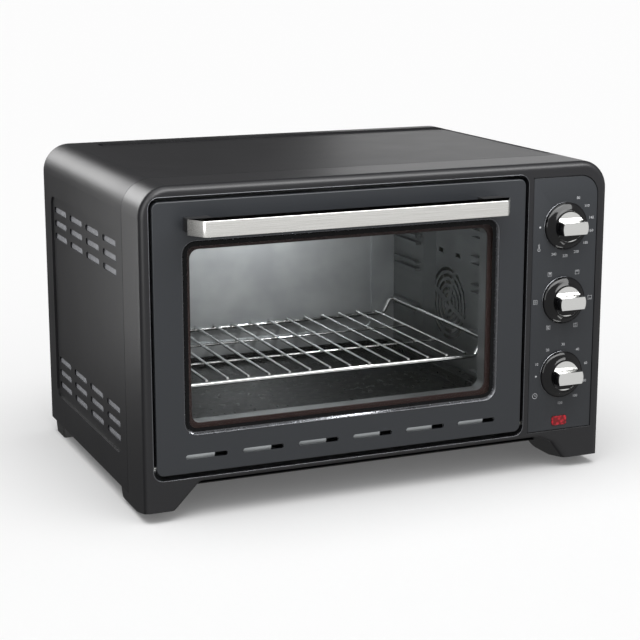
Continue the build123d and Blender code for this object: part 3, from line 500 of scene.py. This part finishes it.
def ring(low, high, corner, width, back, front):  # a rounded rectangular ring in the front plane
    deselect()
    middle = ((low[0] + high[0]) / 2, back, (low[1] + high[1]) / 2)
    bpy.ops.mesh.primitive_plane_add(size=1, location=middle, rotation=(math.radians(90), 0, 0))
    piece = bpy.context.object
    piece.scale = (high[0] - low[0], high[1] - low[1], 1)
    bpy.ops.object.transform_apply(location=True, rotation=True, scale=True)
    bpy.ops.object.mode_set(mode="EDIT")
    bpy.ops.mesh.select_all(action="SELECT")
    bpy.ops.mesh.bevel(offset=corner * mm, segments=10, affect="VERTICES")
    bpy.ops.mesh.select_all(action="SELECT")
    bpy.ops.mesh.inset(thickness=width * mm, depth=0)
    bpy.ops.mesh.delete(type="FACE")
    bpy.ops.mesh.select_all(action="SELECT")
    bpy.ops.mesh.extrude_region_move(TRANSFORM_OT_translate={"value": (0, front - back, 0)})
    bpy.ops.mesh.select_all(action="SELECT")
    bpy.ops.mesh.normals_make_consistent(inside=False)
    bpy.ops.object.mode_set(mode="OBJECT")
    return piece


def joined(pieces):  # one piece out of several
    deselect()
    for piece in pieces:
        piece.select_set(True)
    bpy.context.view_layer.objects.active = pieces[0]
    bpy.ops.object.join()
    return bpy.context.object


# sharp-edged nodes get the small round of the real moulding or pressing
rounds = {"handle_trim": 0.9, "handle_grip": 1.2, "rear_foot_left": 1.6, "rear_foot_right": 1.6,
          "rear_spacers": 0.8, "cord_gland": 0.5, "control_panel": 0.4, "drip_tray": 0.5, "door_arms": 0.3,
          "heater_bushes": 0.6, "indicator_lens": 0.5, "window_trim": 1.0}
ownFinish = {"window_trim": finishes["edge_chrome"]}
for node, edge in rounds.items():
    soften(node, edge, ownFinish.get(node))
print("softened:", len(rounds), "nodes")

# the three knobs: a chromed washer on the panel, a black dish, and a chromed cap with its grip bar
knob = {
    "washer": [(27.0, 0.0), (27.05, 0.3), (26.8, 0.55), (24.0, 0.55)],
    "dish": [(26.4, 0.6), (26.9, 1.1), (26.9, 1.9), (26.5, 2.7), (25.4, 3.9), (23.6, 5.2), (21.6, 6.3),
             (19.9, 7.4), (18.9, 8.4), (18.2, 9.0), (17.1, 9.0)],
    "capRound": 1.3, "capRoundSteps": 4, "capRoundLimit": 25,
    "hollowBelow": 6.9, "hollowRadius": 15.6,  # the hollow under the bar, painted black as shade
    "flankLean": 0.45, "flankFrom": 8.0, "flankTop": 6.0,  # the faces that lean left, painted black as shade, and where they are
}
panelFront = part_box("control_panel")[0].y
knobCentres = {}
for control in ("thermostat", "selector", "timer"):
    low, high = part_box(control + "_knob_base")
    centre = ((low.x + high.x) / 2, high.y, (low.z + high.z) / 2)
    knobCentres[control] = centre
    washer = turned((centre[0], panelFront, centre[2]), knob["washer"])
    keep(washer, control + "Washer", "cabinet", finishes["edge_chrome"], angle=40)
    dish = turned(centre, knob["dish"])
    keep(dish, control + "Dish", bodyOf[control + "_knob_base"], finishes["knob_plastic"],
         angle=60)
    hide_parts(control + "_knob_base")
    grip = soften(control + "_knob_grip", knob["capRound"], knobChrome, knob["capRoundSteps"],
                  knob["capRoundLimit"])
    grip.data.materials.append(finishes["knob_plastic"])  # painted shade: the hollow under the bar and the left-leaning faces of the chrome cap get the black dish plastic
    for face in grip.data.polygons:
        away = face.center - Vector(centre)
        reach = math.hypot(away.x, away.z)
        inShadedHollow = away.z < -knob["hollowBelow"] * mm and reach < knob["hollowRadius"] * mm
        leansLeftInShade = face.normal.x < -knob["flankLean"] and away.x < -knob["flankFrom"] * mm
        if inShadedHollow or (leansLeftInShade and away.z < knob["flankTop"] * mm):
            face.material_index = 1
print("knobs: washer, dish and grip, three times")

# black ink on the border of the pane, just in front of the glass
paneInk = {"corner": 15.0, "width": 6.8, "gap": 0.02, "thick": 0.1}
windowLow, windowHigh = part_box("window_trim")
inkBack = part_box("door_glass")[0].y - paneInk["gap"] * mm
inkBorder = ring((windowLow.x, windowLow.z), (windowHigh.x, windowHigh.z), paneInk["corner"],
                 paneInk["width"], inkBack, inkBack - paneInk["thick"] * mm)
keep(inkBorder, "paneInk", "door", frit)

# the bright lip on the edge of the bezel's opening, as far outside the door as the gaps say
doorLip = {"side": 4.2, "bottom": 5.8, "top": 5.1, "corner": 11.7, "width": 0.85, "sunk": 1.6,
           "proud": 0.12, "edge": 0.35}
doorLow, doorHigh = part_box("door_outer_panel")
lip = ring((doorLow.x - doorLip["side"] * mm, doorLow.z - doorLip["bottom"] * mm),
           (doorHigh.x + doorLip["side"] * mm, doorHigh.z + doorLip["top"] * mm), doorLip["corner"],
           doorLip["width"], doorLow.y + doorLip["sunk"] * mm, doorLow.y - doorLip["proud"] * mm)
useModifier(lip, "BEVEL", width=doorLip["edge"] * mm, segments=3, limit_method="ANGLE",
            angle_limit=math.radians(50))
keep(lip, "doorLip", "cabinet", finishes["edge_chrome"])
print("rings: pane ink and door lip")

# louvre blades in the cabinet's side slots, one blade made and copied into each slot
louvre = {"length": 56.0, "height": 9.5, "thick": 0.6, "edge": 0.3, "tilt": 9, "inset": 4.6,
          "rows": (283.0, 267.4, 251.8, 99.5, 83.9, 68.3), "first": 118.0, "pitch": 68.0, "count": 4}
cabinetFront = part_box("front_bezel")[0].y
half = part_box("cabinet_wrap")[1].x
for side, label in ((-1, "Left"), (1, "Right")):
    places = [(cabinetFront + (louvre["first"] + column * louvre["pitch"]) * mm, row * mm)
              for column in range(louvre["count"]) for row in louvre["rows"]]
    (firstY, firstZ), *others = places
    deselect()
    bpy.ops.mesh.primitive_cube_add(size=1, location=(side * (half - louvre["inset"] * mm), firstY, firstZ),
                                    rotation=(0, side * math.radians(-louvre["tilt"]), 0))
    firstBlade = bpy.context.object
    firstBlade.scale = (louvre["thick"] * mm, louvre["length"] * mm, louvre["height"] * mm)
    bpy.ops.object.transform_apply(location=True, rotation=True, scale=True)
    useModifier(firstBlade, "BEVEL", width=louvre["edge"] * mm, segments=2)
    blades = [firstBlade]
    for y, z in others:
        blade = firstBlade.copy()
        blade.data = firstBlade.data.copy()
        bpy.context.scene.collection.objects.link(blade)
        blade.location = (0, y - firstY, z - firstZ)
        blades.append(blade)
    # the blades' mid grey is a painted sheen
    keep(joined(blades), "louvres" + label, "cabinet", louvrePaintedSheen)
print("louvres: both sides")

# marks printed round the knobs: plain numerals, small symbols and dots; angles run clockwise from the top
marks = {
    "size": 4.4, "thick": 0.06, "radius": 34.5,
    "temperatures": ("80", "110", "140", "160", "180", "200", "220", "240"), "hotStart": 28, "hotStep": 25,
    "minutes": ("10", "20", "30", "40", "60", "80", "100", "120"), "timeStart": -66, "timeStep": 35,
    "offAngle": 270, "offRadius": 32.0, "offDot": 0.5, "offWidth": 1.3,
    "signAngle": 235, "signRadius": 40.0, "line": 0.5,
    "modeStart": 30, "modeStep": 60, "modeRadius": 35.5, "boxLine": 0.45, "fanLine": 0.4,
    "heaterAbove": (0, 2, 3, 5), "heaterBelow": (1, 2, 3), "fanOn": (3, 4, 5), "modes": 6,
}


def printed(piece, x, z):  # turns a flat shape to the panel's front and puts it there
    choose(piece)
    bpy.ops.object.convert(target="MESH")
    piece = bpy.context.object
    piece.rotation_euler = (math.radians(90), 0, 0)
    piece.location = (x, panelFront - marks["thick"] * mm / 2, z)
    bpy.ops.object.transform_apply(location=True, rotation=True, scale=True)
    return piece


def numeral(words, x, z):
    deselect()
    bpy.ops.object.text_add()
    text = bpy.context.object
    text.data.body = words
    text.data.size = marks["size"] * mm
    text.data.align_x = "CENTER"
    text.data.align_y = "CENTER"
    text.data.resolution_u = 4
    text.data.extrude = marks["thick"] * mm / 2
    return printed(text, x, z)


def strokes(outline, x, z, width, cyclic=False):  # a symbol drawn as a narrow flat line through its points
    curve = bpy.data.curves.new("stroke", "CURVE")
    curve.dimensions = "3D"
    line = curve.splines.new("POLY")
    line.points.add(len(outline) - 1)
    for point, (px, pz) in zip(line.points, outline):
        point.co = (px * mm, pz * mm, 0, 1)
    line.use_cyclic_u = cyclic
    curve.bevel_depth = width * mm / 2
    curve.bevel_resolution = 1
    piece = bpy.data.objects.new("stroke", curve)
    bpy.context.scene.collection.objects.link(piece)
    piece.scale = (1, 1, marks["thick"] / width)
    return printed(piece, x, z)


def around(control, angle, radius):  # a place round a knob
    x, _, z = knobCentres[control]
    turn = math.radians(angle)
    return x + radius * mm * math.sin(turn), z + radius * mm * math.cos(turn)


def arc(radius, start, end, steps, z=0.0):
    turns = [math.radians(start + (end - start) * i / steps) for i in range(steps + 1)]
    return [(radius * math.sin(turn), z + radius * math.cos(turn)) for turn in turns]


signs = {
    "thermometer": arc(1.5, 25, 335, 14, -2.6) + [(-0.65, 3.4), (0.65, 3.4), (0.65, -1.2)],
    "clock": arc(3.0, 0, 360, 20), "clockHands": [(0, 1.8), (0, 0), (1.4, 0)],
    "oven": [(-2.4, -2.2), (-2.4, 2.2), (2.4, 2.2), (2.4, -2.2)],
    "heaterAbove": [(-1.4, 1.1), (1.4, 1.1)], "heaterBelow": [(-1.4, -1.1), (1.4, -1.1)],
    "fanOn": arc(0.9, 0, 360, 10),
}
printedMarks = []
for index, words in enumerate(marks["temperatures"]):
    x, z = around("thermostat", marks["hotStart"] + index * marks["hotStep"], marks["radius"])
    printedMarks.append(numeral(words, x, z))
for index, words in enumerate(marks["minutes"]):
    x, z = around("timer", marks["timeStart"] + index * marks["timeStep"], marks["radius"])
    printedMarks.append(numeral(words, x, z))
for control in ("thermostat", "timer"):  # the off position is a dot
    x, z = around(control, marks["offAngle"], marks["offRadius"])
    printedMarks.append(strokes(arc(marks["offDot"], 0, 360, 12), x, z, marks["offWidth"], True))
x, z = around("thermostat", marks["signAngle"], marks["signRadius"])
printedMarks.append(strokes(signs["thermometer"], x, z, marks["line"], True))
x, z = around("timer", marks["signAngle"], marks["signRadius"])
printedMarks.append(strokes(signs["clock"], x, z, marks["line"], True))
printedMarks.append(strokes(signs["clockHands"], x, z, marks["line"]))
for mode in range(marks["modes"]):  # an oven with a bar above, below or both, or a round for the fan
    x, z = around("selector", marks["modeStart"] + mode * marks["modeStep"], marks["modeRadius"])
    printedMarks.append(strokes(signs["oven"], x, z, marks["boxLine"], True))
    for heater in ("heaterAbove", "heaterBelow"):
        if mode in marks[heater]:
            printedMarks.append(strokes(signs[heater], x, z, marks["line"]))
    if mode in marks["fanOn"]:
        printedMarks.append(strokes(signs["fanOn"], x, z, marks["fanLine"], True))
keep(joined(printedMarks), "panelMarks", "cabinet", ink)
print("panel marks:", len(printedMarks), "marks")

# camera, backdrop, floor and lamps
camera = {"azimuth": -23.16, "elevation": 12.87, "place": (-0.770, -1.797, 0.6055), "lens": 95.6,
          "sensor": 36}
bpy.ops.object.camera_add(location=camera["place"], rotation=(
    math.radians(90 - camera["elevation"]), 0, math.radians(camera["azimuth"])))
bpy.context.object.data.lens = camera["lens"]
bpy.context.object.data.sensor_width = camera["sensor"]
bpy.context.scene.camera = bpy.context.object
bpy.context.scene.view_settings.view_transform = "Standard"  # whites stay white and blacks stay deep

studio = {"airFront": 0.84, "airBack": 0.12, "fadeStart": -0.45, "fadeEnd": 0.35, "backdrop": 0.96,
          "floor": "#e8e8e8", "floorSize": 60, "floorGlow": 0.09}
world = bpy.data.worlds.new("studio")
bpy.context.scene.world = world
world.use_nodes = True
background = world.node_tree.nodes["Background"]
background.inputs["Color"].default_value = linear("#ffffff")
skyPlace = addNode(world.node_tree, "ShaderNodeTexCoord")  # the room is light in front and dim behind
skyAxes = addNode(world.node_tree, "ShaderNodeSeparateXYZ", links={"Vector": skyPlace.outputs["Generated"]})
skyFade = addNode(world.node_tree, "ShaderNodeMapRange", {
    "From Min": studio["fadeStart"], "From Max": studio["fadeEnd"],
    "To Min": studio["airFront"], "To Max": studio["airBack"]}, {"Value": skyAxes.outputs["Y"]})
skyRay = addNode(world.node_tree, "ShaderNodeLightPath")  # seen directly, the backdrop is pale like the paper
skySeen = addNode(world.node_tree, "ShaderNodeMix", {"B": studio["backdrop"]}, {
    "Factor": skyRay.outputs["Is Camera Ray"], "A": skyFade.outputs["Result"]})
world.node_tree.links.new(skySeen.outputs["Result"], background.inputs["Strength"])

deselect()
bpy.ops.mesh.primitive_plane_add(size=studio["floorSize"], location=(0, 0, 0))
floor = bpy.context.object
floor.name = "floor"
floorMaterial = newMaterial("studioPaper", studio["floor"], 0.9, **{
    "Specular IOR Level": 0.0, "Emission Color": linear("#ffffff"),
    "Emission Strength": studio["floorGlow"]})[0]
floor.data.materials.append(floorMaterial)
floor.visible_glossy = False  # black surfaces show the room, not the white paper
paper = bpy.data.collections.new("paper")  # the soft boxes near the oven leave the paper to the skylight
paper.objects.link(floor)

skylight = {"place": (-0.3, -0.5, 3.0), "aim": (0, 0, 0), "power": 2.05, "spread": 60}
softBoxes = {
    "topFront": {
        "place": (0.12, -0.48, 0.68), "aim": (0.1, -0.17, 0.33), "power": 7.5, "size": (1.0, 0.25)},
    "leftFront": {
        "place": (-0.8, -0.62, 0.5), "aim": (-0.275, -0.15, 0.22), "power": 4.0, "size": (0.35, 0.8)},
    "leftSide": {
        "place": (-0.62, 0.42, 0.3), "aim": (-0.275, -0.12, 0.22), "power": 1.0, "size": (0.16, 0.6)},
    "backRight": {
        "place": (1.1, 1.5, 0.75), "aim": (0.15, 0.0, 0.35), "power": 1.6, "size": (0.8, 0.5)},
    "backLeft": {
        "place": (-0.7, 1.3, 0.8), "aim": (0.0, 0.2, 0.15), "power": 9.0, "size": (0.9, 0.6)},
    "cavity": {
        "place": (0.06, -0.132, 0.3), "aim": (-0.24, 0.02, 0.29), "power": 0.75, "size": (0.03, 0.02)},
}


def addLamp(name, kind, place, aim, power):  # a lamp that the camera doesn't see
    light = bpy.data.lights.new(name, kind)
    light.energy = power
    lamp = bpy.data.objects.new(name, light)
    bpy.context.scene.collection.objects.link(lamp)
    lamp.location = place
    lamp.rotation_euler = (Vector(aim) - Vector(place)).to_track_quat("-Z", "Y").to_euler()
    lamp.visible_camera = False
    return lamp


sun = addLamp("skylight", "SUN", skylight["place"], skylight["aim"], skylight["power"])
sun.data.angle = math.radians(skylight["spread"])
for name, box in softBoxes.items():
    lamp = addLamp(name, "AREA", box["place"], box["aim"], box["power"])
    lamp.data.shape = "RECTANGLE"
    lamp.data.size, lamp.data.size_y = box["size"]
    lamp.light_linking.receiver_collection = paper
paper.collection_objects[0].light_linking.link_state = "EXCLUDE"
print("studio: camera, floor and lamps")
